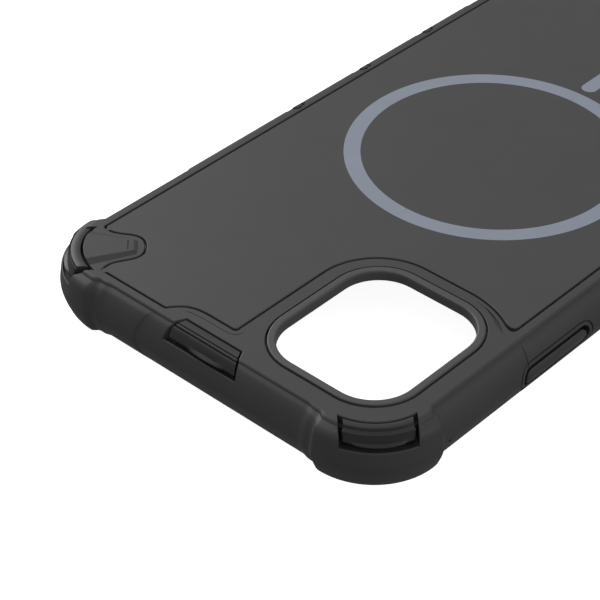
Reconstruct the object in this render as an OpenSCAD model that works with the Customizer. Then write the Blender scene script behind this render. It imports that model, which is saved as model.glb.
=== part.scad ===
// Rugged two-material phone case with a magnetic ring, for a 6.1-inch handset.
// Lies on its open screen side. +Z points out of the back, -Y is the camera end of the phone,
// +X is the side with the camera window and the power button.
// The origin is the centre of the footprint, on the plane of the front rim.

/* [Phone] */
// Width of the handset
phone_w = 75.7; // [75:0.1:76.5]
// Length of the handset
phone_l = 150.9; // [150:0.1:151.5]
// Thickness of the handset
phone_t = 8.3; // [8:0.1:8.6]
// Corner radius of the handset
phone_r = 11.5; // [11:0.1:12]
// Clearance between handset and case, each side
phone_gap = 0.15; // [0.1:0.05:0.3]

/* [Case body] */
// Greatest width between the two long walls, without the corner bumpers
case_w = 82.3; // [82:0.1:83]
// Greatest length between the two end walls, without the corner bumpers
case_l = 158.8; // [158:0.1:160]
// Radius of the case's outer corners
case_r = 14.05; // [13.5:0.05:14.5]
// Thickness of the lip that holds the screen side
lip_t = 1.0; // [0.8:0.1:1.2]
// Width of the lip over the screen's edge
lip_w = 1.0; // [0.8:0.1:1.4]
// How far the corner bumpers stand out from the walls
bumper_out = 0.95; // [0.5:0.05:1.2]

/* [Back] */
// Thickness of the hard skeleton behind the phone
shell_t = 0.8; // [0.7:0.1:1]
// Thickness of the visible back plate
plate_t = 0.9; // [0.8:0.1:1]
// Half width of the back plate, to the middle of its groove
plate_hw = 36.46; // [36:0.02:36.6]
// Half length of the back plate, to the middle of its groove
plate_hl = 74.9; // [74.5:0.1:75]
// Width of the groove round the back plate
groove_w = 0.4; // [0.3:0.1:0.6]

/* [Camera window] */
// Centre of the window across the case
cam_x = 19.65; // [19.5:0.05:19.8]
// Centre of the window along the case
cam_y = -55.95; // [-56.1:0.05:-55.8]
// Outer width of the bezel
bezel_w = 29.9; // [29.5:0.1:30]
// Outer length of the bezel
bezel_l = 33.5; // [33:0.1:33.6]
// Width of the bezel's band
bezel_band = 1.5; // [1.3:0.1:1.6]
// Outer corner radius of the bezel
bezel_r = 9.5; // [9:0.1:10]
// Height of the bezel above the back plate
bezel_up = 0.3; // [0.2:0.1:0.5]

/* [Magnetic ring] */
// Outer radius of the printed ring
ring_ro = 28; // [27.5:0.1:28]
// Width of the printed ring
ring_band = 3.2; // [3:0.1:3.4]
// Width of the alignment bar
bar_w = 3.2; // [3:0.1:3.4]
// Start of the alignment bar from the ring's centre
bar_start = 29.5; // [29:0.1:30]
// Length of the alignment bar
bar_l = 16; // [14:0.5:18]
// Number of magnets in the ring
magnet_count = 18; // [12:2:24]

/* [Buttons] */
// Height of the buttons' middle above the front rim
button_z = 4.7; // [4.5:0.05:4.9]
// Middle of the power button along the case
power_y = -33.5; // [-34:0.1:-33]
// Length of the power button
power_len = 17; // [15:0.1:17.4]
// Middle of the volume-up button along the case
volume_up_y = -38.5; // [-39:0.1:-38]
// Middle of the volume-down button along the case
volume_down_y = -25.3; // [-26:0.1:-25]
// Length of each volume button
volume_len = 9.2; // [8.5:0.1:9.6]
// Height of every button
button_h = 3.0; // [2.8:0.1:3.2]
// Gap between a button and its slot
button_gap = 0.35; // [0.3:0.05:0.4]

/* [Hidden] */
$fn = 96;
eps = 0.05;

// Heights, from the front rim up
cavity_z0 = lip_t;
cavity_z1 = cavity_z0 + phone_t + 0.1;
shell_z1 = cavity_z1 + shell_t;
case_h = shell_z1 + plate_t;

// Centre of each outer corner's curve
corner_x = case_w / 2 - case_r;
corner_y = case_l / 2 - case_r;
edge_steps = 10;

// The wall is fullest at this height and draws in above and below it
belly_z = 4.7;
crease_in = 2.9;
crease_step = 0.42;
top_draw = 2.65;
foot_draw = 2.25;
bumper_top_draw = 1.9;

// Corner windows; above the phone's back they reach further in
window_hw = 6.45;
window_r = 10.5;
window_low_r = 11.6;
window_z = case_h - 3.2;
sill_z = cavity_z1 + 0.1;

// Window in the top end wall
end_x = -0.4;
end_hw_top = 6.4;
end_hw_low = 8.6;
end_y = 74.6;
end_low_y = 76.05;
end_z = case_h - 3.1;

// Raised pads beside the corner windows
pad_up = 0.5;

// Camera island of the frame, and the rounding of the back plate's own corners
island_x = 1.6;
island_y = -36.5;
corner_soft = 0.6;

// Scallops along the back edge of the long walls, each with a rounded tab in it
scallop_y = [-12.5, 7.2, 26.9];
scallop_x = 39.5;
scallop_z = cavity_z1 + 0.2;
scallop_r = 2.3;
tab_x = 39.1;
tab_r = 1.35;

// Button slots
power_x = case_w / 2;
rim_out = 1.45;
rim_line = 0.2;
rim_d = 0.85;
slot_hh = button_h / 2 + button_gap;
pocket_d = 1.35;
flange_t = 0.55;
flange_out = 0.5;
mute_y = -51.5;
mute_len = 9.6;
mute_h = 5.2;

// Bottom end
port_w = 14;
port_h = 6.4;
port_z = 5.1;
speaker_x = 17.5;
speaker_w = 11;
speaker_h = 2.6;

// --- flat outlines -------------------------------------------------------------

module rounded_rect(hx, hy, r) {
    square([2 * (hx - r), 2 * hy], center = true);
    square([2 * hx, 2 * (hy - r)], center = true);
    for (sx = [-1, 1], sy = [-1, 1])
        translate([sx * (hx - r), sy * (hy - r)]) circle(r);
}

module stadium(hl, hh) {
    square([2 * (hl - hh), 2 * hh], center = true);
    for (s = [-1, 1]) translate([s * (hl - hh), 0]) circle(hh);
}

// Moves to a corner of the case and turns its x axis outwards along the diagonal
module at_corner(sx, sy) {
    angle = atan2(sy, sx);
    translate([sx * corner_x, sy * corner_y, 0]) rotate([0, 0, angle]) children();
}

// Notch in the back plate round a pad, with the diagonal along x
module pad_notch() {
    side = [
        [-0.58, 0.4], [-0.5, 1.1], [-0.28, 1.83], [0.1, 2.5], [0.74, 3.08], [1.47, 3.46],
        [2.76, 3.84], [3.86, 4.1], [5.1, 4.55], [5.8, 5], [6.4, 5.6], [6.9, 6.4], [7.4, 7.6], [20, 12]
    ];
    mirrored = [for (i = [len(side) - 1 : -1 : 0]) [side[i][0], -side[i][1]]];
    polygon(concat(side, mirrored));
}

// Points of an arc about a centre
function arc(centre, r, from, to, steps) = [
    for (i = [0 : steps])
        let (a = from + (to - from) * i / steps)
        [centre[0] + r * cos(a), centre[1] + r * sin(a)]
];

// Part of the frame that reaches round the camera window
module camera_island() {
    near_r = 12.7;
    far_r = 19.5;
    polygon(concat(
        [[island_x, -90]],
        arc([island_x + near_r, island_y - near_r], near_r, 180, 90, 24),
        arc([24, island_y - far_r], far_r, 90, 40, 20),
        [[60, -90]]
    ));
}

// Part of the frame that reaches round the end window
module end_bay() {
    polygon([
        [-11.9, -75.6], [-11.22, -74.4], [-10.77, -73.85], [-10.2, -73.25], [-9.72, -72.78],
        [-9.18, -72.37], [-8.6, -72.05], [-7.95, -71.79], [-7.22, -71.58], [-6.44, -71.43],
        [-5.6, -71.34], [-4.6, -71.3], [4, -71.3], [4, -90], [-11.9, -90]
    ]);
}

// Outline of the back plate, shrunk by d
module plate_outline(d) {
    offset(r = corner_soft) offset(delta = -corner_soft) difference() {
        rounded_rect(plate_hw - d, plate_hl - d, 9.5);
        for (c = [[-1, -1], [1, 1], [-1, 1]]) at_corner(c[0], c[1]) offset(r = d + 0.01) pad_notch();
        offset(r = d + 0.01) camera_island();
        offset(r = d + 0.01) end_bay();
    }
}

module camera_outline(out) {
    translate([cam_x, cam_y]) rounded_rect(bezel_w / 2 + out, bezel_l / 2 + out, bezel_r + out);
}

// --- swept wall ----------------------------------------------------------------

// Distance that the wall draws in from its fullest point at height z
function draw_in(z, top, foot) =
    z > belly_z
        ? top * pow((z - belly_z) / (case_h - crease_step - belly_z), 2.2)
        : foot * pow((belly_z - z) / belly_z, 1.6);

// Half section of the wall, from the corner's centre outwards
function wall_section(r, top, foot) = concat(
    [[0, 0]],
    [for (i = [0 : edge_steps])
        let (z = belly_z * i / edge_steps)
        [r - draw_in(z, top, foot), z]],
    [for (i = [1 : edge_steps])
        let (z = belly_z + (case_h - crease_step - belly_z) * i / edge_steps)
        [r - draw_in(z, top, foot), z]],
    [[r - crease_in, case_h], [0, case_h]]
);

module quarter(sx, sy, section) {
    start = sx > 0 ? (sy > 0 ? 0 : 270) : (sy > 0 ? 90 : 180);
    translate([sx * corner_x, sy * corner_y, 0])
        rotate([0, 0, start]) rotate_extrude(angle = 90) polygon(section);
}

// Two straight walls at a distance from the middle, along y
module wall_pair(distance, len) {
    for (s = [0, 180]) rotate([0, 0, s]) translate([distance, 0, 0]) rotate([90, 0, 0])
        linear_extrude(len, center = true) polygon(wall_section(case_r, top_draw, foot_draw));
}

module long_walls() {
    wall_pair(corner_x, 2 * corner_y);
}

module body_solid() {
    translate([-corner_x, -corner_y, 0]) cube([2 * corner_x, 2 * corner_y, case_h]);
    long_walls();
    rotate([0, 0, 90]) wall_pair(corner_y, 2 * corner_x);
    for (sx = [-1, 1], sy = [-1, 1])
        quarter(sx, sy, wall_section(case_r, top_draw, foot_draw));
}

module bumpers() {
    section = wall_section(case_r + bumper_out, bumper_top_draw, foot_draw - 0.4);
    for (sx = [-1, 1], sy = [-1, 1]) quarter(sx, sy, section);
}

// --- cut-outs ------------------------------------------------------------------

module phone_space() {
    hx = phone_w / 2 + phone_gap;
    hy = phone_l / 2 + phone_gap;
    r = phone_r + phone_gap;
    translate([0, 0, cavity_z0]) linear_extrude(cavity_z1 - cavity_z0) rounded_rect(hx, hy, r);
    translate([0, 0, -1]) linear_extrude(cavity_z0 + 1 + eps)
        rounded_rect(hx - lip_w, hy - lip_w, r - lip_w);
}

module shell_outline(out) {
    rounded_rect(plate_hw + out, plate_hl - 1 + out, 10.5 + out);
}

module corner_window(sx, sy) {
    at_corner(sx, sy) difference() {
        translate([0, -window_hw, window_z]) cube([30, 2 * window_hw, 10]);
        translate([0, 0, window_z - 1]) cylinder(r = window_low_r, h = sill_z - window_z + 1);
        cylinder(r = window_r, h = 2 * case_h);
    }
}

module end_window_outline(gap) {
    polygon([
        [-end_hw_low + gap, end_z], [end_hw_low - gap, end_z],
        [end_hw_top - gap, case_h + 1], [-end_hw_top + gap, case_h + 1]
    ]);
}

module end_window() {
    difference() {
        translate([end_x, -end_y, 0]) rotate([90, 0, 0]) linear_extrude(12) end_window_outline(0);
        translate([-20, -end_low_y, 0]) cube([40, 10, sill_z]);
    }
}

module scallops() {
    for (side = [-1, 1], y = scallop_y)
        translate([side * scallop_x, y, scallop_z]) cylinder(r = scallop_r, h = case_h);
}

// Slot, rim line and inner pocket of a side button; x points out of the wall
module button_cut(y, len, side) {
    inner_x = phone_w / 2 + phone_gap;
    hl = len / 2;
    translate([0, y, button_z]) rotate([90, 0, side * 90]) {
        linear_extrude(60) stadium(hl + button_gap, slot_hh);
        translate([0, 0, power_x - rim_d]) linear_extrude(5) difference() {
            stadium(hl + rim_out, button_h / 2 + rim_out);
            stadium(hl + rim_out - rim_line, button_h / 2 + rim_out - rim_line);
        }
        translate([0, 0, inner_x - 1]) linear_extrude(1 + pocket_d)
            stadium(hl + flange_out + button_gap, slot_hh + flange_out);
    }
}

module mute_cut() {
    translate([0, mute_y, button_z]) rotate([90, 0, -90]) linear_extrude(60)
        stadium(mute_len / 2, mute_h / 2);
}

module bottom_cuts() {
    translate([0, 0, port_z]) rotate([-90, 0, 0]) linear_extrude(100) {
        stadium(port_w / 2, port_h / 2);
        for (s = [-1, 1]) translate([s * speaker_x, 0]) stadium(speaker_w / 2, speaker_h / 2);
    }
}

// Raised wedge-shaped pad on the diagonal, beside a corner window
module pad(sx, sy) {
    base = window_r - 0.02;
    at_corner(sx, sy) intersection() {
        translate([0, 0, shell_z1]) cylinder(r = base, h = 10);
        hull() {
            translate([0, 0, shell_z1]) linear_extrude(plate_t)
                polygon([[0.9, -2], [0.9, 2], [10, 5], [11, 5], [11, -5], [10, -5]]);
            translate([0, 0, shell_z1]) linear_extrude(plate_t + pad_up)
                polygon([[1.5, -1.5], [1.5, 1.5], [10, 4.4], [11, 4.4], [11, -4.4], [10, -4.4]]);
        }
    }
}

// --- sub-parts -----------------------------------------------------------------

module outer_frame() {
    color("#2b2b2c") union() {
        difference() {
            union() {
                body_solid();
                bumpers();
            }
            phone_space();
            translate([0, 0, cavity_z1 - eps]) linear_extrude(shell_t + eps) shell_outline(0.1);
            translate([0, 0, shell_z1 - eps]) linear_extrude(plate_t + 1)
                plate_outline(-groove_w / 2);
            translate([0, 0, shell_z1 - eps]) linear_extrude(plate_t + 1) camera_outline(0.15);
            for (sx = [-1, 1], sy = [-1, 1]) corner_window(sx, sy);
            end_window();
            scallops();
            button_cut(power_y, power_len, 1);
            button_cut(volume_up_y, volume_len, -1);
            button_cut(volume_down_y, volume_len, -1);
            mute_cut();
            bottom_cuts();
        }
        pad(-1, -1);
        pad(-1, 1);
        pad(1, 1);
    }
}

module magnet_recess(out) {
    difference() {
        circle(ring_ro - 0.2 + out);
        circle(ring_ro - ring_band - 0.6 - out);
    }
    translate([-bar_w / 2 - out, bar_start - out]) square([bar_w + 2 * out, bar_l + 2 * out]);
}

module inner_shell() {
    color("#3a3a3c") difference() {
        translate([0, 0, cavity_z1]) linear_extrude(shell_t) difference() {
            shell_outline(0);
            camera_outline(0);
        }
        translate([0, 0, cavity_z1 - 1]) linear_extrude(1 + shell_t - 0.2) magnet_recess(0.1);
    }
}

module back_plate() {
    color("#4c4c4e") difference() {
        translate([0, 0, shell_z1]) linear_extrude(plate_t) plate_outline(groove_w / 2);
        translate([0, 0, case_h - 0.12]) linear_extrude(1) {
            ring_outline();
            bar_outline();
        }
    }
}

module camera_bezel() {
    color("#3c3c3e") difference() {
        translate([0, 0, cavity_z1]) linear_extrude(case_h + bezel_up - cavity_z1) camera_outline(0);
        translate([0, 0, cavity_z1 - 1]) linear_extrude(10) camera_outline(-bezel_band);
    }
}

module ring_outline() {
    difference() {
        circle(ring_ro);
        circle(ring_ro - ring_band);
    }
}

module bar_outline() {
    translate([0, bar_start + bar_l / 2]) rotate(90) stadium(bar_l / 2, bar_w / 2);
}

module ring_inlay() {
    color("#868c96") translate([0, 0, case_h - 0.12]) linear_extrude(0.12) ring_outline();
}

module bar_inlay() {
    color("#868c96") translate([0, 0, case_h - 0.12]) linear_extrude(0.12) bar_outline();
}

module ring_magnets() {
    step = 360 / magnet_count;
    color("silver") translate([0, 0, cavity_z1 + 0.15]) for (i = [0 : magnet_count - 1])
        rotate([0, 0, i * step + 0.5]) rotate_extrude(angle = step - 1)
            translate([ring_ro - ring_band - 0.6, 0]) square([ring_band + 0.4, shell_t - 0.35]);
}

module bar_magnet() {
    color("silver") translate([-bar_w / 2, bar_start, cavity_z1 + 0.15])
        cube([bar_w, bar_l, shell_t - 0.35]);
}

module magnet_cover() {
    color("#d8d8d6") translate([0, 0, cavity_z1]) linear_extrude(0.15) magnet_recess(0.05);
}

// Stepped rib block that shows in a corner window
module corner_rib(sx, sy) {
    z0 = window_z;
    profile = [
        [window_low_r + 0.1, z0], [13.3, z0], [13.85, z0 + 0.6], [13.85, z0 + 1], [13.5, z0 + 1.3],
        [12.95, z0 + 2.7], [12.6, z0 + 2.95], [12.55, z0 + 2.7], [12.35, z0 + 2.7],
        [12.3, z0 + 3.2], [window_r + 0.35, z0 + 3.2], [window_r + 0.35, sill_z],
        [window_low_r + 0.1, sill_z]
    ];
    color("#343436") at_corner(sx, sy) intersection() {
        rotate_extrude() polygon(profile);
        translate([0, -window_hw + 0.4, 0]) cube([30, 2 * window_hw - 0.8, 30]);
    }
}

module rib_camera_corner() {
    corner_rib(1, -1);
}

module rib_top_corner() {
    corner_rib(-1, -1);
}

module rib_port_corner_right() {
    corner_rib(1, 1);
}

module rib_port_corner_left() {
    corner_rib(-1, 1);
}

// Stepped rib block that shows in the end window
module rib_top_end() {
    profile = [
        [end_low_y + 0.1, end_z], [78.1, end_z], [78.15, end_z + 0.5], [77.75, end_z + 0.8],
        [77.5, end_z + 1.9], [77.1, end_z + 2.45], [76.7, end_z + 2.6], [76.6, end_z + 2.3],
        [76.35, end_z + 2.3], [76.25, end_z + 3], [end_y + 0.1, end_z + 3],
        [end_y + 0.1, sill_z], [end_low_y + 0.1, sill_z]
    ];
    color("#343436") intersection() {
        translate([end_x, 0, 0]) rotate([90, 0, -90]) linear_extrude(30, center = true)
            polygon(profile);
        translate([end_x, -60, 0]) rotate([90, 0, 0]) linear_extrude(30) end_window_outline(0.5);
    }
}

// Rounded tabs that stand in the scallops of one long wall
module side_tabs(side) {
    color("#343436") intersection() {
        long_walls();
        for (y = scallop_y)
            translate([side * tab_x, y, scallop_z]) cylinder(r = tab_r, h = case_h);
    }
}

module side_tabs_left() {
    side_tabs(-1);
}

module side_tabs_right() {
    side_tabs(1);
}

// Button cap with its inner flange; side gives the wall
module side_button(y, len, side) {
    inner_x = phone_w / 2 + phone_gap;
    flange_x = inner_x + pocket_d - flange_t - 0.1;
    color("#303032") translate([0, y, button_z]) rotate([90, 0, side * 90]) {
        translate([0, 0, flange_x]) linear_extrude(power_x - flange_x)
            stadium(len / 2, button_h / 2);
        translate([0, 0, flange_x]) linear_extrude(flange_t)
            stadium(len / 2 + flange_out, button_h / 2 + flange_out);
    }
}

module power_button() {
    side_button(power_y, power_len, 1);
}

module volume_up_button() {
    side_button(volume_up_y, volume_len, -1);
}

module volume_down_button() {
    side_button(volume_down_y, volume_len, -1);
}

outer_frame();
inner_shell();
back_plate();
camera_bezel();
ring_inlay();
bar_inlay();
ring_magnets();
bar_magnet();
magnet_cover();
rib_camera_corner();
rib_top_corner();
rib_port_corner_right();
rib_port_corner_left();
rib_top_end();
side_tabs_left();
side_tabs_right();
power_button();
volume_up_button();
volume_down_button();
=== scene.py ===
import math

import bmesh
import bpy
import numpy as np
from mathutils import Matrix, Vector


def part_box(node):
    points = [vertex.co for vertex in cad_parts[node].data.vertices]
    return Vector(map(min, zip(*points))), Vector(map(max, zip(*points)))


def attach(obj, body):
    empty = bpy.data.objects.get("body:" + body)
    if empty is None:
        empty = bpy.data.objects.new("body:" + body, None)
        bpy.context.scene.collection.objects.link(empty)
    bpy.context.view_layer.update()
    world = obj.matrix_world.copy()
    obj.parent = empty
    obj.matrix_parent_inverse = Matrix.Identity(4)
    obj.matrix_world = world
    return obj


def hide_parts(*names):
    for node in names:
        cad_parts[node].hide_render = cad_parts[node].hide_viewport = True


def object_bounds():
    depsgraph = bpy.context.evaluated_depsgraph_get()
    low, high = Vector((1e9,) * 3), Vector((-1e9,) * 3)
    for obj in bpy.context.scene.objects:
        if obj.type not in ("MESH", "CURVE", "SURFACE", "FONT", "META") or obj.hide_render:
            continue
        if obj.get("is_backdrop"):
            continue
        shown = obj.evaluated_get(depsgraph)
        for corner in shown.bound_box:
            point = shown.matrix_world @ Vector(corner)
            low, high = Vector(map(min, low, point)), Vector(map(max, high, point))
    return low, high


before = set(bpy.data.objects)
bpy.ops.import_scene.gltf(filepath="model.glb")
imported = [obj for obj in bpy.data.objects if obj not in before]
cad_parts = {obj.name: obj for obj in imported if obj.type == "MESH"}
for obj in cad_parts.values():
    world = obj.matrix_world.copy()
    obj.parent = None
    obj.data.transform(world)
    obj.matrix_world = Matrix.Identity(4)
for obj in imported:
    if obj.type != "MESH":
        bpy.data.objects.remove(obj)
CAD_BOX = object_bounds()

MM = 0.001


def node_box(name):
    """Lowest and highest corner of a CAD node, in millimetres."""
    low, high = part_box(name)
    return [v / MM for v in low], [v / MM for v in high]


# Heights above the front rim
TOP = node_box("back_plate")[1][2]
SHELL_TOP = node_box("inner_shell")[1][2]
SEAT = node_box("inner_shell")[0][2]

# Centre of the curve of each corner. Distances r are taken outwards from it.
CORNER_X, CORNER_Y = 27.1, 65.35
RIM_R = 8.6        # inner edge of the swept skin
WINDOW_IN = 8.9    # nothing in a window reaches further in than this
CORNERS = ((1, 1), (-1, 1), (-1, -1), (1, -1))
CAMERA_CORNER = (1, -1)
PADDED = ((1, 1), (-1, 1), (-1, -1))     # all but the camera's corner

# Distance of the wall from the corner's centre at each height
WALL = ((0, 11.7), (0.3, 12.1), (1.7, 13.0), (3.2, 13.65), (4.5, 14.05), (5.5, 14.0),
        (6.9, 13.7), (8.03, 13.31), (8.96, 12.88), (9.7, 12.42), (10.15, 12.05), (10.4, 11.7),
        (10.52, 11.38))
BUMPER = ((0, 13.2), (0.3, 13.45), (1.7, 14.14), (3.2, 14.68), (4.7, 14.98), (6.9, 14.75),
          (8.2, 14.55), (9.2, 14.3), (9.8, 13.95), (10.2, 13.45), (10.4, 12.95), (10.52, 12.4))
WALL_CREST = ((11.31, 10.74), (11.22, 10.93), (11.08, 11.05), (10.88, 11.1))
BUMPER_CREST = ((12.25, 10.75), (12.1, 10.94), (11.85, 11.06), (11.5, 11.1))
CREASE_Z = 10.52   # top of the wall, where its crest starts
LIFT = 0.2         # how far the raised bands of the walls stand out
LONG_STEP = 41.35  # the raised band of a long wall ends at this y, on both sides
SHORT_STEP = -12.8  # and that of a short wall at this x

# Corner windows
WINDOW_HW = 6.45
WINDOW_R = 10.5
WINDOW_SILL_R = 11.4
WINDOW_Z = 7.95
WIDEST = 0.69      # sine of the widest angle that a window's edge may lie at
WINDOW_T = 0.7     # share of the corner's stations that the window takes
UNDERCUT_Z = 9.55  # below this a window keeps clear of the phone

# End window
END_X = -0.25
END_HW = 6.5
END_R = 74.5 - CORNER_Y
END_SILL_R = 10.95
END_Z = 8.0
END_FLARE = 0.5    # widening of the end window per millimetre outwards
LINE_R = 11.5      # the control lines of a short wall are placed at this distance

EDGE = 0.22        # radius of the windows' edges
SINK = 0.7         # drop of a window's floor behind its rim
BELOW = 0.2        # a window's section starts this far below its floor
LONG_LOW = 8.0     # the points of a long wall's section lie closer above this height


# --- small mesh tools ----------------------------------------------------------

def smooth_curve(table):
    """A smooth function through the points of a table."""
    xs, ys = np.array(table, float).T
    slope = np.gradient(ys, xs)

    def value(x):
        i = int(np.clip(np.searchsorted(xs, x) - 1, 0, len(xs) - 2))
        h = xs[i + 1] - xs[i]
        t = (x - xs[i]) / h
        return ((2 * t ** 3 - 3 * t ** 2 + 1) * ys[i] + (t ** 3 - 2 * t ** 2 + t) * h * slope[i]
                + (3 * t ** 2 - 2 * t ** 3) * ys[i + 1] + (t ** 3 - t ** 2) * h * slope[i + 1])
    return value


wall_r = smooth_curve(WALL)
bumper_r = smooth_curve(BUMPER)


def ease(x, low, high):
    """Smooth step from 0 at low to 1 at high."""
    t = min(1.0, max(0.0, (x - low) / (high - low)))
    return t * t * (3 - 2 * t)


def mesh_object(name, verts, faces):
    """A new object from points in millimetres, with its normals outwards."""
    mesh = bpy.data.meshes.new(name)
    mesh.from_pydata([[c * MM for c in v] for v in verts], [], faces)
    obj = bpy.data.objects.new(name, mesh)
    bpy.context.scene.collection.objects.link(obj)
    tidy(obj)
    return obj


def tidy(obj, merge=0.0):
    """Turns the normals outwards, after merging points that lie closer than merge."""
    bm = bmesh.new()
    bm.from_mesh(obj.data)
    if merge:
        bmesh.ops.remove_doubles(bm, verts=bm.verts, dist=merge * MM)
        bmesh.ops.dissolve_degenerate(bm, dist=merge * MM, edges=bm.edges)
    bmesh.ops.recalc_face_normals(bm, faces=bm.faces)
    bm.to_mesh(obj.data)
    bm.free()


def is_level(face):
    return abs(face.normal.z) > 0.99999


def shade(obj, degrees=36):
    """Smooth shading, with an edge kept sharp where its faces meet at more than this angle,
    and round every level face."""
    bm = bmesh.new()
    bm.from_mesh(obj.data)
    for face in bm.faces:
        face.smooth = True
    for edge in bm.edges:
        level = {is_level(face) for face in edge.link_faces}
        limit = math.radians(2 if len(level) > 1 else degrees)
        edge.smooth = len(edge.link_faces) == 2 and edge.calc_face_angle(0) < limit
    bm.to_mesh(obj.data)
    bm.free()


def skin(rows, loop_rows=True, loop_columns=False, caps=True):
    """Points and faces of a grid of rows; the caps close its first and last columns."""
    n, m = len(rows), len(rows[0])
    verts = [p for row in rows for p in row]
    faces = []
    for i in range(n if loop_rows else n - 1):
        for j in range(m if loop_columns else m - 1):
            a, b = i * m, ((i + 1) % n) * m
            k = (j + 1) % m
            faces.append((a + j, b + j, b + k, a + k))
    if caps and not loop_columns:
        faces.append([i * m for i in range(n)])
        faces.append([i * m + m - 1 for i in range(n)][::-1])
    if caps and loop_columns and not loop_rows:
        faces.append(list(range(m)))
        faces.append([(n - 1) * m + j for j in range(m)][::-1])
    return verts, faces


def offset(points, d):
    """A closed flat outline moved outwards by d, with mitred corners."""
    p = np.array(points, float)
    area = np.sum(p[:, 0] * np.roll(p[:, 1], -1) - np.roll(p[:, 0], -1) * p[:, 1])
    a, b = p - np.roll(p, 1, 0), np.roll(p, -1, 0) - p
    a /= np.linalg.norm(a, axis=1)[:, None]
    b /= np.linalg.norm(b, axis=1)[:, None]
    na, nb = np.c_[a[:, 1], -a[:, 0]], np.c_[b[:, 1], -b[:, 0]]
    n = na + nb
    n /= np.maximum(np.sum(n * na, 1), 0.35)[:, None]
    return p + n * d * (1 if area > 0 else -1)


def rounded_rect(cx, cy, hx, hy, r, steps=16):
    """Outline of a rectangle of half-sizes hx and hy with rounded corners."""
    points = []
    for k, (sx, sy) in enumerate(CORNERS):
        for i in range(steps + 1):
            a = math.radians(90 * (k + i / steps))
            points.append((cx + sx * (hx - r) + r * math.cos(a),
                           cy + sy * (hy - r) + r * math.sin(a)))
    return points


def stadium(cx, cy, hx, hy, steps=24):
    return rounded_rect(cx, cy, hx, hy, min(hx, hy) - 0.001, steps)


def loft(name, outline, levels, place=None, closed=False):
    """A solid from an outline moved out by d and up by h at each (d, h) of levels.
    With closed, the levels run round the section of a ring."""
    place = place or (lambda x, y, h: (x, y, h))
    columns = [[place(x, y, h) for x, y in offset(outline, d)] for d, h in levels]
    rows = [list(row) for row in zip(*columns)]
    return mesh_object(name, *skin(rows, loop_columns=closed))


def boolean(obj, tool, operation="DIFFERENCE"):
    """Cuts the tool from an object or joins it to it, and deletes the tool."""
    modifier = obj.modifiers.new("boolean", "BOOLEAN")
    modifier.operation = operation
    modifier.solver = "MANIFOLD"
    modifier.object = tool
    bpy.context.view_layer.update()
    evaluated = obj.evaluated_get(bpy.context.evaluated_depsgraph_get())
    mesh = bpy.data.meshes.new_from_object(evaluated)
    obj.modifiers.clear()
    old, obj.data = obj.data, mesh
    bpy.data.meshes.remove(old)
    bpy.data.objects.remove(tool)
    if not mesh.polygons:
        raise RuntimeError("a boolean left nothing")


def flat_loops(node, z):
    """Closed outlines of a CAD node's flat faces at height z, in millimetres."""
    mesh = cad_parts[node].data
    keys = [tuple(round(c / MM, 3) for c in v.co) for v in mesh.vertices]
    edges = {}
    for face in mesh.polygons:
        loop = [keys[i] for i in face.vertices]
        if any(abs(p[2] - z) > 0.002 for p in loop):
            continue
        for p, q in zip(loop, loop[1:] + loop[:1]):
            if (q, p) in edges:
                del edges[(q, p)]
            else:
                edges[(p, q)] = True
    follow = {p: q for p, q in edges}
    loops = []
    while follow:
        start, point = follow.popitem()
        loop = [start]
        while point != start and point in follow:
            loop.append(point)
            point = follow.pop(point)
        loops.append([(p[0], p[1]) for p in loop])
    return loops


def span(loop):
    """Width and length of an outline."""
    p = np.array(loop)
    return p.max(0) - p.min(0)


# --- the frame's swept skin ----------------------------------------------------

def wall_section(low, bump=0.0, lift=0.0, sunk=0.0, inner=WINDOW_R):
    """Section of the wall as (distance, height), from the rim's inner edge up to the back.
    low is where a window may start; sunk draws in what lies over the window."""
    def at(z):
        raised = lift * ease(z, 0.3, 2.0) * (1 - ease(z, 10.2, 10.5))
        return (1 - bump) * wall_r(z) + bump * bumper_r(z) + raised
    foot = at(0.3)
    points = [(RIM_R, 0), (foot - 0.6, 0), (foot - 0.3, 0.03), (foot - 0.1, 0.12)]
    points += [(at(z), z) for z in np.linspace(0.3, low, 15)]
    first = len(points) - 1
    points += [(at(z), z) for z in np.linspace(low, CREASE_Z, 11)[1:]]
    for (wr, wz), (br, bz) in zip(WALL_CREST, BUMPER_CREST):
        points.append(((1 - bump) * wr + bump * br, (1 - bump) * wz + bump * bz))
    points += [(10.7, TOP), (10.45, TOP), (9.5, TOP), (9.15, TOP), (WINDOW_IN, TOP), (RIM_R, TOP)]
    last = len(points) - 2
    if sunk:
        points = draw_in(points, first, last, sunk, inner)
    return points, first, last


def draw_in(points, first, last, depth, inner):
    """A section with the points between first and last moved in, less so near the inner edge."""
    result = list(points)
    for i in range(first + 1, last):
        (r0, z0), (r1, z1) = points[i - 1], points[i + 1]
        n = Vector((z1 - z0, r0 - r1)).normalized()
        fade = ease(points[i][0], inner, inner + 0.4)
        result[i] = (points[i][0] - n.x * depth * fade, points[i][1] - n.y * depth * fade)
    return result


def window_section(section, inner, sill, floor):
    """The same section with a window sunk into it, with as many points as before."""
    points, first, last = section
    face = points[first][0]
    path = [points[first], (face - 0.03, floor - 0.1), (face - 0.09, floor - 0.03),
            (face - EDGE, floor), (face - 0.32, floor), (face - 0.4, floor - SINK),
            (sill, floor - SINK), (sill, UNDERCUT_Z), (inner, UNDERCUT_Z),
            (inner, TOP - EDGE), (inner - 0.03, TOP - 0.09), (inner - 0.09, TOP - 0.03),
            (inner - EDGE, TOP)]
    path += [p for p in points[last - 2:last] if p[0] < inner - EDGE]
    path.append(points[last])
    while len(path) < last - first + 1:
        gaps = [math.dist(p, q) for p, q in zip(path, path[1:])]
        k = gaps.index(max(gaps))
        (r0, z0), (r1, z1) = path[k], path[k + 1]
        path.insert(k + 1, ((r0 + r1) / 2, (z0 + z1) / 2))
    return points[:first] + path + points[last + 1:]


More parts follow.
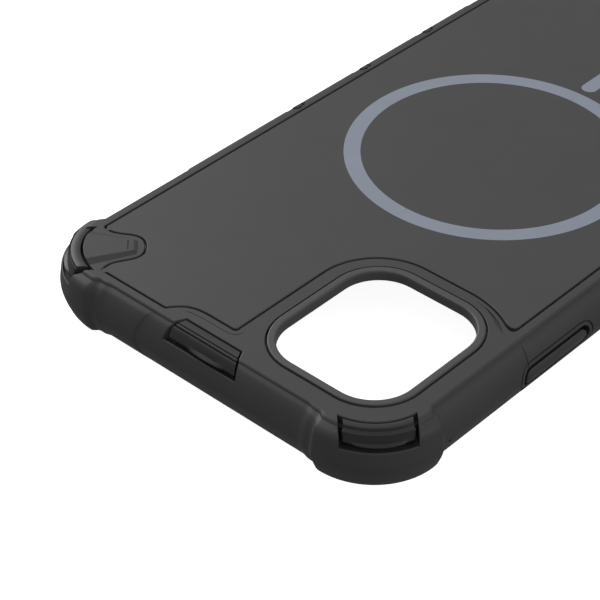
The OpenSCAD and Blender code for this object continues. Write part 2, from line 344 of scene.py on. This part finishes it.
def corner_place(sx, sy, t):
    """Where a point at distance r lies on station t, from -1 to 1, of a corner.
    The stations of the window run along the diagonal, and the others fan out."""
    middle = math.atan2(sy, sx)

    def place(r):
        sine = min(WINDOW_HW / r, WIDEST)
        edge = math.asin(sine)
        if abs(t) <= WINDOW_T:
            angle = math.asin(sine * abs(t) / WINDOW_T)
        else:
            share = (abs(t) - WINDOW_T) / (1 - WINDOW_T)
            angle = edge + share * (math.pi / 4 - edge)
        angle = middle + math.copysign(angle, t)
        return sx * CORNER_X + r * math.cos(angle), sy * CORNER_Y + r * math.sin(angle)
    return place


def corner_rows(sx, sy):
    """Rows round a corner: plain ones at its ends and sunk ones in its window."""
    low = WINDOW_Z - BELOW
    plain = wall_section(low, bump=1)
    sunk = window_section(plain, WINDOW_R, WINDOW_SILL_R, WINDOW_Z)
    edge = [(WINDOW_T + 0.016, 0.0), (WINDOW_T + 0.007, 0.02), (WINDOW_T + 0.002, 0.08),
            (WINDOW_T, EDGE)]
    outside = [(t, 0.0) for t in np.linspace(1, WINDOW_T + 0.03, 12)[1:]] + edge
    rows = []
    for t, depth in outside:
        rows.append((-t, wall_section(low, bump=1, sunk=depth)[0]))
    rows += [(t, sunk) for t in np.linspace(-WINDOW_T, WINDOW_T, 25)]
    for t, depth in reversed(outside):
        rows.append((t, wall_section(low, bump=1, sunk=depth)[0]))
    result = []
    for t, section in rows:
        place = corner_place(sx, sy, t)
        result.append([(*place(r), z) for r, z in section])
    return result


def long_bump(y):
    """Share of the bumper's section in a long wall's."""
    return ease(abs(y), 63.65, 65.25)


def short_bump(x):
    """Share of the bumper's section in a short wall's, which rises in two steps."""
    x = abs(x)
    return 0.3 * ease(x, 22.9, 24.6) + 0.7 * ease(x, 25.6, 27.0)


def long_lift(y):
    """The raised band of a long wall, which stops short of the bumpers."""
    return LIFT * (1 - ease(abs(y), LONG_STEP - 0.07, LONG_STEP + 0.07))


def long_rows(side):
    """Rows of a long wall, the way round that the outline goes."""
    ends = list(np.linspace(65.35, 63.5, 13)) + [62.5, 60, 56, 52, 48, 45, 42.5]
    step = [LONG_STEP + d for d in (0.15, 0.07, 0.03, 0, -0.03, -0.07, -0.15)]
    half = ends + step + list(np.linspace(40, 0, 15))
    ys = [-y for y in half] + half[::-1][1:]
    rows = []
    for y in ys:
        section = wall_section(LONG_LOW, bump=long_bump(y), lift=long_lift(y))[0]
        rows.append([(side * (CORNER_X + r), side * y, z) for r, z in section])
    return rows


def short_stations(window):
    """Control lines of a short wall, from -x to +x: (x, slant, sunk). x is taken at LINE_R, and
    slant is its change with r. sunk is how far a line is drawn in, or -1 for a line of the window."""
    bump = [27.1, 26.9, 26.6, 26.3, 26.0, 25.7, 25.4, 25.0, 24.6, 24.3, 24.0, 23.7, 23.4, 23.1,
            22.8, 21.5, 19.5, 17.5]
    left = [(-x, 0.0, 0.0) for x in bump] + [(-15.5, -0.4, 0.0)]
    left += [(SHORT_STEP - d, -0.85, 0.0) for d in (0.12, 0.07, 0.03, 0, -0.03, -0.07, -0.12)]
    left += [(-11, -0.7, 0.0), (-9.5, -0.6, 0.0)]
    if window:
        slant = END_FLARE
        hw = END_HW + slant * (LINE_R - END_R)
        edge = [(hw + 0.3, 0.0), (hw + EDGE, 0.0), (hw + 0.1, 0.02), (hw + 0.03, 0.08), (hw, EDGE)]
        left += [(END_X - x, -slant, s) for x, s in edge]
        inside = [(END_X + hw * k, slant * k, -1.0) for k in np.linspace(-1, 1, 17)]
        right = [(END_X + x, slant, s) for x, s in reversed(edge)]
    else:
        inside = [(x, 0.0, 0.0) for x in np.linspace(-8, 8, 9)]
        right = []
    right += [(9.5, 0.55, 0.0), (11.5, 0.5, 0.0), (13.5, 0.4, 0.0), (15.5, 0.2, 0.0)]
    right += [(x, 0.0, 0.0) for x in bump[::-1]]
    return left + inside + right


def short_lift(x):
    """The raised band of a short wall, which runs into the bumper on one side."""
    band = 1 - ease(x, SHORT_STEP - 0.1, SHORT_STEP + 0.1)
    return LIFT * band * ease(x, -25.6, -22.8)


def short_rows(side, window):
    """Rows of a short wall, the way round that the outline goes."""
    rows = []
    low = END_Z - BELOW
    for x, slant, sunk in short_stations(window):
        section = wall_section(low, short_bump(x), short_lift(x), max(sunk, 0.0), END_R)
        points = section[0]
        if sunk < 0:
            points = window_section(section, END_R, END_SILL_R, END_Z)
        row = [(x + slant * (r - LINE_R), -CORNER_Y - r, z) for r, z in points]
        if side > 0:
            row = [(-px, -py, pz) for px, py, pz in row]
        rows.append(row)
    return rows


def frame_skin():
    """The frame's outer skin, as one closed sweep round the case."""
    rows = long_rows(1) + corner_rows(1, 1)
    rows += short_rows(1, False) + corner_rows(-1, 1)
    rows += long_rows(-1) + corner_rows(-1, -1)
    rows += short_rows(-1, True) + corner_rows(1, -1)
    return mesh_object("frame_body", *skin(rows))


# --- pads beside the corner windows --------------------------------------------

# (height, tip, half-width at the tip, half-width at the base, radius of the base)
PAD_LEVELS = (
    (10.6, 0.86, 1.95, 5.05, 10.49), (11.1, 0.86, 1.95, 5.05, 10.49),
    (11.5, 1.3, 1.66, 3.75, 10.49), (11.55, 1.42, 1.6, 3.62, 10.46), (11.57, 1.6, 1.54, 3.48, 10.4),
)
PAD_CORNER = 0.45  # reach of the curves at a pad's tip
# Distance out, half-length and half-width of the line across a pad
PAD_LINE = (2.55, 1.35, 0.07)
# Where the frame meets the back plate beside a pad: (distance out, across, radius)
NECKS = ((6.42, 6.7, 0.62), (6.2, -5.6, 0.42))


def soft_corner(a, b, c, r, steps=4):
    """Points of a rounded corner at b."""
    a, b, c = Vector(a), Vector(b), Vector(c)
    p, q = b + (a - b).normalized() * r, b + (c - b).normalized() * r
    return [tuple(p * (1 - t) ** 2 + b * 2 * t * (1 - t) + q * t * t)
            for t in [i / steps for i in range(steps + 1)]]


def pad_outline(tip, tip_hw, base_hw, base_r):
    """Outline of a pad at one height, as (out along the corner's diagonal, across it)."""
    half = math.asin(base_hw / base_r)
    arc = [(base_r * math.cos(a), base_r * math.sin(a)) for a in np.linspace(-half, half, 13)]
    tip_low, tip_high = (tip, -tip_hw), (tip, tip_hw)
    return (arc + soft_corner(arc[-1], tip_high, tip_low, PAD_CORNER)
            + soft_corner(tip_high, tip_low, arc[0], PAD_CORNER))


def on_diagonal(sx, sy, points):
    """Points given as (out along a corner's diagonal, across it) in x and y."""
    angle = math.atan2(sy, sx)
    c, s = math.cos(angle), math.sin(angle)
    return [(sx * CORNER_X + c * t - s * w, sy * CORNER_Y + s * t + c * w) for t, w in points]


def pad(sx, sy):
    """The raised pad of a corner, from the wall in over the back."""
    columns = []
    for z, *sizes in PAD_LEVELS:
        outline = on_diagonal(sx, sy, pad_outline(*sizes))
        columns.append([(x, y, z) for x, y in outline])
    return mesh_object("pad", *skin([list(row) for row in zip(*columns)]))


def pad_line(sx, sy):
    t, length, half = PAD_LINE
    outline = on_diagonal(sx, sy, rounded_rect(t, 0, half, length, half - 0.001, 4))
    return loft("cut", outline, [(0, 11.42), (0, 11.5), (0.05, 11.56), (0.05, 12)])


def neck(sx, sy, t, w, r):
    """A small disc where the frame closes the back plate's groove."""
    outline = on_diagonal(sx, sy, stadium(t, w * sx * sy, r, r, 6))
    return loft("neck", outline, [(0, SHELL_TOP + 0.05), (0, TOP)])


# --- cutters of the frame ------------------------------------------------------

TURN_R = 1.7       # reach of the back plate's curve beside the camera
PHONE = (38.0, 75.6, 11.65)    # half-sizes and corner radius of the space for the phone
BACK_FOOT = SHELL_TOP - 0.02   # the openings for the back plate and the bezel start here


def phone_cutter():
    """The space for the phone, with the lip round its screen, as one stepped solid."""
    levels = [(-0.75, -0.5), (-0.75, 0.0), (-0.92, 0.1), (-1.0, 0.28), (-1.0, 0.85), (-0.95, 0.96),
              (-0.85, 1.0), (-0.1, 1.0), (0.0, 1.1), (0.0, 9.35)]
    return loft("cut", rounded_rect(0, 0, *PHONE, 24), levels)


def shell_cutter():
    """The space for the skeleton under the back."""
    low, high = node_box("inner_shell")
    outline = rounded_rect(0, 0, high[0] + 0.1, high[1] + 0.1, 10.6, 24)
    return loft("cut", outline, [(0, SEAT - 0.1), (0, SHELL_TOP + 0.01)])


def soften(outline):
    """An outline round the back plate with a fuller curve where it meets the camera's side."""
    turn = max((p for p in outline if p[0] > 30 and p[1] < -20), key=lambda p: p[0] - p[1])
    near = [math.dist(p, turn) < TURN_R for p in outline]
    start = next(i for i, inside in enumerate(near) if inside and not near[i - 1])
    rest = [p for p, inside in zip(outline[start:] + outline[:start], near[start:] + near[:start])
            if not inside]
    return soft_corner(rest[-1], turn, rest[0], TURN_R, 8) + rest


def pocket_outline():
    """Outline of the back plate's pocket, which is the widest opening in the frame's back."""
    loops = flat_loops("outer_frame", TOP)
    return soften([p for p in loops if 70 < span(p)[0] < 76][0])


def groove_cutter():
    """The pocket for the back plate, with a rounded rim."""
    levels = [(0, BACK_FOOT), (0, TOP - 0.18), (0.03, TOP - 0.07), (0.09, TOP - 0.015),
              (0.2, TOP + 0.03), (0.2, TOP + 0.9)]
    return loft("cut", pocket_outline(), levels)


def bezel_outline():
    """Outline of the camera's bezel, from its CAD node's box."""
    low, high = node_box("camera_bezel")
    hx, hy = (high[0] - low[0]) / 2, (high[1] - low[1]) / 2
    return rounded_rect((low[0] + high[0]) / 2, (low[1] + high[1]) / 2, hx, hy, 9.5, 24)


def camera_cutter():
    """The hole for the bezel, a little larger than it."""
    levels = [(0.35, BACK_FOOT), (0.35, TOP - 0.12), (0.38, TOP - 0.04), (0.46, TOP + 0.01),
              (0.5, TOP + 1)]
    return loft("cut", bezel_outline(), levels)


def side_place(side):
    """Turns an outline in (y, z) and a depth h along x into a point of a long wall."""
    return lambda y, z, h: (side * h, y, z)


def slot_cutter(side, y, z, hy, hz, face, inner, flare):
    """A stadium-shaped hole in a long wall, from its face in to inner, with a flared rim."""
    levels = [(0, inner), (0, face - flare), (0.03, face - 0.45 * flare), (flare, face + 0.02),
              (flare, face + 3)]
    return loft("cut", stadium(y, z, hy, hz), levels, side_place(side))


def end_cutter(x, z, hx, hz, face):
    """A stadium-shaped hole through the wall of the port end."""
    levels = [(0, face - 6), (0, face - 0.3), (0.06, face - 0.12), (0.3, face + 0.05), (0.3, face + 3)]
    return loft("cut", stadium(x, z, hx, hz), levels, lambda px, pz, h: (px, h, pz))


BUTTON_Z = 4.7
STEM_R = 13.2      # a button's stem follows the wall inwards from this distance
RIM_OUT = 1.4      # from a button's cap to the thin line round its rim
SLOT_GAP = 0.6     # from a button's cap to its slot's sides
POCKET_GAP = 0.85  # from a button's cap to the sides of its flange's pocket
POCKET_IN, POCKET_OUT = 37, 39.35   # the pocket's reach along x
CAP_DROP = 0.26    # the caps sit this much below the middle of their slots
CAP_GROW = 0.04    # and are this much taller, at each edge, than their nominal height


def wall_place(side):
    """Turns an outline in (y, z) and a height h above a long wall into a point."""
    return lambda y, z, h: (side * (CORNER_X + wall_r(z) + LIFT + h), y, z)


def button_half(node):
    """Middle and half-length along y, and half-height, of a button's cap."""
    low, high = node_box(node)
    return (low[1] + high[1]) / 2, (high[1] - low[1]) / 2 - 0.5, (high[2] - low[2]) / 2 - 0.5


def button_cutters(node, side):
    """The thin line round a button's rim, its slot, and the pocket for its flange."""
    y, hy, hz = button_half(node)
    place = wall_place(side)
    line = stadium(y, BUTTON_Z, hy + RIM_OUT, hz + RIM_OUT)
    section = [(-0.15, -0.35), (0.15, -0.35), (0.15, -0.04), (0.2, 0.3), (-0.2, 0.3), (-0.15, -0.04)]
    yield loft("cut", line, section, place, closed=True)
    slot = stadium(y, BUTTON_Z, hy + SLOT_GAP, hz + SLOT_GAP)
    levels = [(0.2, -11), (0.2, -0.6), (0, -0.35), (0, -0.14), (0.03, -0.06), (0.12, 0.02), (0.12, 1)]
    yield loft("cut", slot, levels, place)
    pocket = stadium(y, BUTTON_Z, hy + POCKET_GAP, hz + POCKET_GAP)
    yield loft("cut", pocket, [(0, POCKET_IN), (0, POCKET_OUT)], side_place(side))


def crease_cutter(points, widths, depth):
    """A shallow groove in the back along a line, with its width at each point."""
    p = np.array(points, float)
    along = np.gradient(p, axis=0)
    across = np.c_[-along[:, 1], along[:, 0]] / np.linalg.norm(along, axis=1)[:, None]
    half = np.array(widths)[:, None] / 2
    outline = list(p + across * half) + list((p - across * half)[::-1])
    rows = [[(x, y, z) for z in (TOP - depth, TOP + 0.5)] for x, y in outline]
    return mesh_object("cut", *skin(rows))


# Lines in the back: round the end window, and beside the camera, each with its widths
END_CREASE = ((-8.4, -73.4), (-7.9, -73.15), (-7.2, -72.95), (-5.8, -72.8), (-3.3, -72.7), (-0.5, -72.7),
              (1.3, -72.65), (2.1, -72.3), (2.65, -71.7), (2.85, -71.1), (2.95, -70.5))
END_CREASE_WIDTHS = [0.02] + [0.13] * 9 + [0.02]
SICKLE = ((26.4, -37.62), (28.35, -38.0), (29.51, -38.33), (30.63, -38.84), (31.9, -39.5),
          (32.85, -40.1), (33.6, -40.62), (34.66, -41.24), (35.3, -41.66))
SICKLE_WIDTHS = (0.04, 0.12, 0.22, 0.36, 0.56, 0.7, 0.62, 0.3, 0.02)

# Scallops in the long edges of the back, and the tabs in them
SCALLOP_Y = (-12.5, 7.2, 26.9)
SCALLOP_X, SCALLOP_R = 39.5, 2.3
TAB_X, TAB_R = 39.1, 1.35
SCALLOP_Z = 9.6


def scallop_cutter(side, y):
    circle = stadium(side * SCALLOP_X, y, SCALLOP_R, SCALLOP_R, 12)
    levels = [(-0.2, SCALLOP_Z), (0, SCALLOP_Z + 0.2), (0, TOP - 0.1), (0.08, TOP + 0.02), (0.08, 12)]
    return loft("cut", circle, levels)


# Openings of the long walls: y, z, half-sizes, the wall's face, the inner end and the flare
MUTE = (-51.5, BUTTON_Z, 4.8, 2.6, 41.0, 30, 0.4)
DIMPLE = (-62.3, 4.2, 0.3, 0.3, 41.1, 40.2, 0.05)
# Openings of the port end: x, z, half-sizes and the wall's face
PORT = (0, 5.1, 7, 3.2, 79.2)
SPEAKER_X = 17.5
SPEAKER = (5.1, 5.5, 1.3, 79.35)


def frame_cutters():
    yield phone_cutter()
    yield shell_cutter()
    yield groove_cutter()
    yield camera_cutter()
    yield from button_cutters("power_button", 1)
    yield from button_cutters("volume_up_button", -1)
    yield from button_cutters("volume_down_button", -1)
    yield slot_cutter(-1, *MUTE)
    yield slot_cutter(1, *DIMPLE)
    yield end_cutter(*PORT)
    for side in (-1, 1):
        yield end_cutter(side * SPEAKER_X, *SPEAKER)
    for side in (-1, 1):
        for y in SCALLOP_Y:
            yield scallop_cutter(side, y)
    yield crease_cutter(END_CREASE, END_CREASE_WIDTHS, 0.08)
    yield crease_cutter(SICKLE, SICKLE_WIDTHS, 0.3)
    for corner in PADDED:
        yield pad_line(*corner)


def build_frame():
    body = frame_skin()
    for corner in PADDED:
        boolean(body, pad(*corner), "UNION")
    for tool in frame_cutters():
        boolean(body, tool)
    for corner in PADDED:
        for spot in NECKS:
            boolean(body, neck(*corner, *spot), "UNION")
    tidy(body, 0.002)
    shade(body)
    return body


# --- other pieces --------------------------------------------------------------

RING_BAND = 3.2    # width of the printed ring
INK_FOOT = 0.06    # the prints reach this far down into the plate
INK_RISE = 0.03    # and stand this far above it


def build_plate():
    loops = flat_loops("back_plate", SHELL_TOP)
    outline = soften(max(loops, key=lambda p: span(p)[0]))
    levels = [(-0.05, SHELL_TOP), (0, SHELL_TOP + 0.05), (0, TOP - 0.16), (-0.03, TOP - 0.06),
              (-0.08, TOP - 0.02), (-0.16, TOP)]
    plate = loft("plate", outline, levels)
    for corner in PADDED:
        for spot in NECKS:
            boolean(plate, neck(*corner, *spot))
    return plate


def build_bezel():
    top = TOP + 0.2
    levels = [(0, SEAT), (0, top - 0.2), (-0.03, top - 0.08), (-0.1, top - 0.02), (-0.25, top),
              (-1.1, top), (-1.27, top - 0.03), (-1.4, top - 0.12), (-1.47, top - 0.28),
              (-1.5, top - 0.5), (-1.5, SEAT)]
    return loft("bezel", bezel_outline(), levels, closed=True)


def build_ring():
    radius, _, z = node_box("ring_inlay")[1]
    levels = [(0, z - INK_FOOT), (0, z + 0.01), (-0.03, z + INK_RISE),
              (0.03 - RING_BAND, z + INK_RISE), (-RING_BAND, z + 0.01), (-RING_BAND, z - INK_FOOT)]
    outline = rounded_rect(0, 0, radius, radius, radius - 0.001, 48)
    return loft("ring_print", outline, levels, closed=True)


def build_bar():
    low, high = node_box("bar_inlay")
    z = high[2]
    outline = stadium(0, (low[1] + high[1]) / 2, high[0], (high[1] - low[1]) / 2)
    return loft("bar_print", outline, [(0, z - INK_FOOT), (0, z + 0.01), (-0.03, z + INK_RISE)])


def build_button(node, side):
    y, hy, hz = button_half(node)
    inner = min(abs(c[0]) for c in node_box(node)) - CORNER_X - LIFT
    name = node.replace("_button", "_key")
    outline = stadium(y, BUTTON_Z - CAP_DROP, hy - 0.1, hz + CAP_GROW)
    levels = [(-0.4, inner - STEM_R), (-0.4, -0.75), (0, -0.45), (0, -0.34), (-0.03, -0.22),
              (-0.1, -0.15), (-0.22, -0.12)]
    cap = loft(name, outline, levels, wall_place(side))
    flange = loft("flange", stadium(y, BUTTON_Z, hy, hz), [(0.5, inner), (0.5, inner + 0.55)],
                  lambda py, pz, h: (side * (CORNER_X + LIFT + h), py, pz))
    boolean(cap, flange, "UNION")
    return cap


# Section of the rib in a corner window, from the window's foot up and over
RIB = ((11.45, 7.27), (12.5, 7.27), (12.6, 8.25), (13.2, 8.4), (13.42, 8.5), (13.5, 8.62),
       (13.52, 8.75), (13.5, 8.92), (13.44, 9.06), (13.36, 9.7), (13.25, 10.3), (13.2, 10.6),
       (13.12, 10.85), (13.02, 10.98), (12.95, 10.95), (12.9, 10.8), (12.74, 10.8), (12.7, 11.1),
       (12.64, 11.24), (12.52, 11.3), (11.2, 11.24), (10.99, 11.2), (10.92, 11.08),
       (10.92, 9.6), (11.45, 9.6))
LENS = {4: 0.35, 5: 0.55, 6: 0.55, 7: 0.25}     # swelling of the section's points
LENS_HW = 4.6
RIB_HW = 5.9
TOP_SHARE = 0.955  # width of a rib's top and back as a share of its face's
RIB_LEAN = 0.42    # how far the camera corner's rib leans in at its top


def swollen(section, lens, share):
    """A rib's section at a share of the lens's half-length."""
    swell = max(0.0, 1 - share * share) ** 0.6
    return [(r + lens.get(i, 0) * swell, z) for i, (r, z) in enumerate(section)]


def shrunk(section, d):
    """A section drawn in by d, for the rounded ends of a rib."""
    if not d:
        return section
    return [tuple(p) for p in offset(section, -d)]


def rib_ends(half):
    """Stations across a rib, with rounded ends: (w, shrink)."""
    ends = [(half, 0.03), (half - 0.03, 0.0)]
    inner = [(w, 0.0) for w in np.linspace(half - 0.4, 0.4 - half, 25)]
    return ends + inner + [(-w, s) for w, s in reversed(ends)]


def rib_width(r, z):
    """Width of a corner's rib at a point of its section, as a share of its face's."""
    on_top = z > 10.75 and r < 12.8
    on_back = z > 9.5 and r < 11.5
    return TOP_SHARE if on_top or on_back else 1


def build_corner_rib(name, sx, sy):
    lean = RIB_LEAN if (sx, sy) == CAMERA_CORNER else 0.0
    rows = []
    for w, shrink in rib_ends(RIB_HW):
        row = []
        for r, z in shrunk(swollen(RIB, LENS, w / LENS_HW), shrink):
            r -= lean * ease(z, 10.7, 10.85) * ease(r, 11.5, 12.5)
            v = w * rib_width(r, z)
            x, y = on_diagonal(sx, sy, [(math.sqrt(r * r - v * v), v)])[0]
            row.append((x, y, z))
        rows.append(row)
    return mesh_object(name, *skin(rows, loop_rows=False, loop_columns=True))


# Section of the rib in the end window
END_RIB = ((11.05, 7.32), (11.7, 7.32), (11.8, 8.2), (12.4, 8.35), (12.66, 8.5), (12.72, 8.65),
           (12.72, 8.8), (12.7, 9.0), (12.62, 9.15), (12.4, 9.8), (12.15, 10.3), (12.0, 10.5),
           (11.9, 10.6), (11.75, 10.66), (11.68, 10.6), (11.64, 10.35), (11.5, 10.35),
           (11.46, 10.72), (11.4, 10.82), (11.25, 10.9), (11.1, 10.94), (11.06, 10.88), (11.03, 10.7),
           (10.93, 10.7), (10.9, 10.98), (10.8, 11.06), (9.72, 11.08), (9.6, 11.05), (9.55, 10.95),
           (9.55, 9.6), (11.05, 9.6))
END_LENS = {4: 0.3, 5: 0.5, 6: 0.5, 7: 0.22}
END_RIB_HW = 6.9
END_GAP = 0.35     # between the end window's sides and its rib


def build_end_rib(name):
    rows = []
    for w, shrink in rib_ends(END_RIB_HW):
        section = shrunk(swollen(END_RIB, END_LENS, (w * 1.15 - 1.2) / 4.2), shrink)
        row = []
        for r, z in section:
            flare = END_FLARE if w > 0 else 0.7 * END_FLARE
            half = END_HW + flare * (r - END_R) - END_GAP
            row.append((END_X + w / END_RIB_HW * half, -CORNER_Y - r, z))
        rows.append(row)
    return mesh_object(name, *skin(rows, loop_rows=False, loop_columns=True))


def tab_place(side):
    """Keeps a tab within the wall's own outline."""
    def place(x, y, z):
        return side * min(abs(x), CORNER_X + wall_r(min(z, CREASE_Z)) - 0.03), y, z
    return place


def build_tabs(name, side):
    tabs = []
    for y in SCALLOP_Y:
        circle = stadium(side * TAB_X, y, TAB_R, TAB_R, 10)
        levels = [(0, SCALLOP_Z - 0.02), (0, TOP - 0.2), (-0.05, TOP - 0.12), (-0.14, TOP - 0.08)]
        tabs.append(loft("tab", circle, levels, tab_place(side)))
    return join(name, tabs)


def join(name, objects):
    """One object of the meshes of several."""
    bm = bmesh.new()
    for obj in objects:
        bm.from_mesh(obj.data)
        bpy.data.objects.remove(obj)
    mesh = bpy.data.meshes.new(name)
    bm.to_mesh(mesh)
    bm.free()
    result = bpy.data.objects.new(name, mesh)
    bpy.context.scene.collection.objects.link(result)
    return result


# --- materials -----------------------------------------------------------------

def link(tree, a, out, b, into):
    tree.links.new(a.outputs[out], b.inputs[into])


def noise(tree, coords, scale, detail):
    node = tree.nodes.new("ShaderNodeTexNoise")
    node.inputs["Scale"].default_value = scale
    node.inputs["Detail"].default_value = detail
    link(tree, coords, "Object", node, "Vector")
    return node


def between(tree, source, low, high):
    """Spreads a noise over the range from low to high."""
    node = tree.nodes.new("ShaderNodeMapRange")
    node.inputs["To Min"].default_value = low
    node.inputs["To Max"].default_value = high
    link(tree, source, "Fac", node, "Value")
    return node


def moulded(name, colour, rough, grain=0.14, depth=0.006, specular=0.5, spread=0.08):
    """Moulded plastic: a fine spark-eroded grain, uneven gloss and faint mottling."""
    material = bpy.data.materials.new(name)
    material.use_nodes = True
    tree = material.node_tree
    shader = tree.nodes["Principled BSDF"]
    shader.inputs["Specular IOR Level"].default_value = specular
    coords = tree.nodes.new("ShaderNodeTexCoord")
    mottle = noise(tree, coords, 90, 4)
    mix = tree.nodes.new("ShaderNodeMix")
    mix.data_type = "RGBA"
    link(tree, mottle, "Fac", mix, "Factor")
    mix.inputs[6].default_value = [c * (1 - spread) for c in colour] + [1]
    mix.inputs[7].default_value = [c * (1 + spread) for c in colour] + [1]
    link(tree, mix, 2, shader, "Base Color")
    fine = noise(tree, coords, 1 / (grain * MM), 2)
    gloss = between(tree, noise(tree, coords, 260, 3), rough - 0.05, rough + 0.05)
    link(tree, gloss, "Result", shader, "Roughness")
    bump = tree.nodes.new("ShaderNodeBump")
    bump.inputs["Distance"].default_value = depth * MM
    link(tree, fine, "Fac", bump, "Height")
    link(tree, bump, "Normal", shader, "Normal")
    return material


def metal(name, colour, rough):
    material = moulded(name, colour, rough, grain=0.2, depth=0.003)
    material.node_tree.nodes["Principled BSDF"].inputs["Metallic"].default_value = 1.0
    return material


def finish_piece(obj, material, body, slot, *nodes):
    """Gives a piece its material, the body it rides on and the CAD nodes it stands for."""
    shade(obj)
    obj.data.materials.clear()
    obj.data.materials.append(material)
    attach(obj, body)
    if nodes:
        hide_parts(*nodes)


def paint(node, material):
    """Gives a CAD node that is shown as it is its material."""
    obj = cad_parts[node]
    obj.data.materials.clear()
    obj.data.materials.append(material)


def build_object():
    rubber = moulded("soft_frame", (0.0435, 0.0435, 0.044), 0.55, specular=0.3)
    plate = moulded("plate", (0.049, 0.049, 0.0495), 0.55, specular=0.3)
    hard = moulded("bezel", (0.058, 0.058, 0.0585), 0.5, specular=0.35)
    rib = moulded("rib", (0.026, 0.026, 0.0263), 0.42, specular=0.3)
    tab = moulded("tab", (0.046, 0.046, 0.0465), 0.5, specular=0.3)
    button = moulded("button", (0.044, 0.044, 0.0445), 0.5, specular=0.3)
    print_ink = moulded("print", (0.223, 0.25, 0.30), 0.6, specular=0.3)
    shell = moulded("skeleton", (0.03, 0.03, 0.03), 0.5)
    film = moulded("film", (0.6, 0.6, 0.58), 0.6)
    magnet = metal("magnet", (0.55, 0.55, 0.55), 0.4)

    finish_piece(build_frame(), rubber, "case", "soft_frame", "outer_frame")
    finish_piece(build_plate(), plate, "case", "plate", "back_plate")
    finish_piece(build_bezel(), hard, "case", "bezel", "camera_bezel")
    finish_piece(build_ring(), print_ink, "case", "print", "ring_inlay")
    finish_piece(build_bar(), print_ink, "case", "print", "bar_inlay")
    ribs = (("rib_camera_corner", 1, -1), ("rib_top_corner", -1, -1),
            ("rib_port_corner_right", 1, 1), ("rib_port_corner_left", -1, 1))
    for node, sx, sy in ribs:
        finish_piece(build_corner_rib(node + "_block", sx, sy), rib, "case", "rib", node)
    finish_piece(build_end_rib("rib_top_end_block"), rib, "case", "rib", "rib_top_end")
    finish_piece(build_tabs("tabs_left", -1), tab, "case", "rib", "side_tabs_left")
    finish_piece(build_tabs("tabs_right", 1), tab, "case", "rib", "side_tabs_right")
    for node, side in (("power_button", 1), ("volume_up_button", -1), ("volume_down_button", -1)):
        body = node.replace("_button", "_key")
        finish_piece(build_button(node, side), button, body, "button", node)
    paint("inner_shell", shell)
    paint("ring_magnets", magnet)
    paint("bar_magnet", magnet)
    paint("magnet_cover", film)


# --- stage, light and camera ---------------------------------------------------

def build_floor():
    """A plain white floor, which lights nothing but the view."""
    material = bpy.data.materials.new("floor")
    material.use_nodes = True
    tree = material.node_tree
    shader = tree.nodes["Principled BSDF"]
    shader.inputs["Roughness"].default_value = 0.9
    shader.inputs["Base Color"].default_value = (0.6, 0.6, 0.6, 1)
    shader.inputs["Emission Color"].default_value = (1, 1, 1, 1)
    shader.inputs["Emission Strength"].default_value = 0.92
    mesh = bpy.data.meshes.new("floor")
    corners = [(-3, -3, 0), (3, -3, 0), (3, 3, 0), (-3, 3, 0)]
    mesh.from_pydata(corners, [], [(0, 1, 2, 3)])
    floor = bpy.data.objects.new("floor", mesh)
    floor.location.z = -0.00002
    mesh.materials.append(material)
    bpy.context.scene.collection.objects.link(floor)
    floor.visible_diffuse = False
    floor.visible_glossy = False
    floor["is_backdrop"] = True


def build_world(level, low):
    """Soft light from all round, darker below the horizon."""
    world = bpy.data.worlds.new("world")
    bpy.context.scene.world = world
    world.use_nodes = True
    tree = world.node_tree
    background = tree.nodes["Background"]
    background.inputs["Color"].default_value = (1, 1, 1, 1)
    coords = tree.nodes.new("ShaderNodeTexCoord")
    split = tree.nodes.new("ShaderNodeSeparateXYZ")
    link(tree, coords, "Generated", split, "Vector")
    reach = tree.nodes.new("ShaderNodeMapRange")
    reach.inputs["From Min"].default_value = -0.2
    reach.inputs["From Max"].default_value = 0.55
    reach.inputs["To Min"].default_value = low
    reach.inputs["To Max"].default_value = level
    link(tree, split, "Z", reach, "Value")
    link(tree, reach, "Result", background, "Strength")


def area_light(name, position, target, size, power):
    data = bpy.data.lights.new(name, "AREA")
    data.shape = "RECTANGLE"
    data.size, data.size_y = size
    data.energy = power
    light = bpy.data.objects.new(name, data)
    light.location = position
    direction = Vector(target) - Vector(position)
    light.rotation_euler = direction.to_track_quat("-Z", "Y").to_euler()
    bpy.context.scene.collection.objects.link(light)


CAMERA_AT = (0.19136, -0.26221, TOP * MM + 0.21591)
CAMERA_VIEW = (-0.53335, 0.58146, -0.61436)
CAMERA_LENS = 123.04


def build_camera():
    data = bpy.data.cameras.new("camera")
    data.lens = CAMERA_LENS
    data.sensor_width = 36
    camera = bpy.data.objects.new("camera", data)
    camera.location = CAMERA_AT
    camera.rotation_euler = Vector(CAMERA_VIEW).to_track_quat("-Z", "Y").to_euler()
    data.clip_start = 0.01
    bpy.context.scene.collection.objects.link(camera)
    bpy.context.scene.camera = camera


build_object()
build_floor()
build_world(0.62, 0.235)
area_light("key", (-1.7, 0.25, 1.0), (0, -0.02, 0), (1.2, 1.0), 26)
area_light("side", (1.2, 0.4, 0.5), (0, -0.02, 0), (0.8, 0.6), 3.5)
build_camera()
bpy.context.scene.view_settings.view_transform = "Standard"

sizes = [[list(map(float, corner)) for corner in box] for box in (CAD_BOX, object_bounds())]
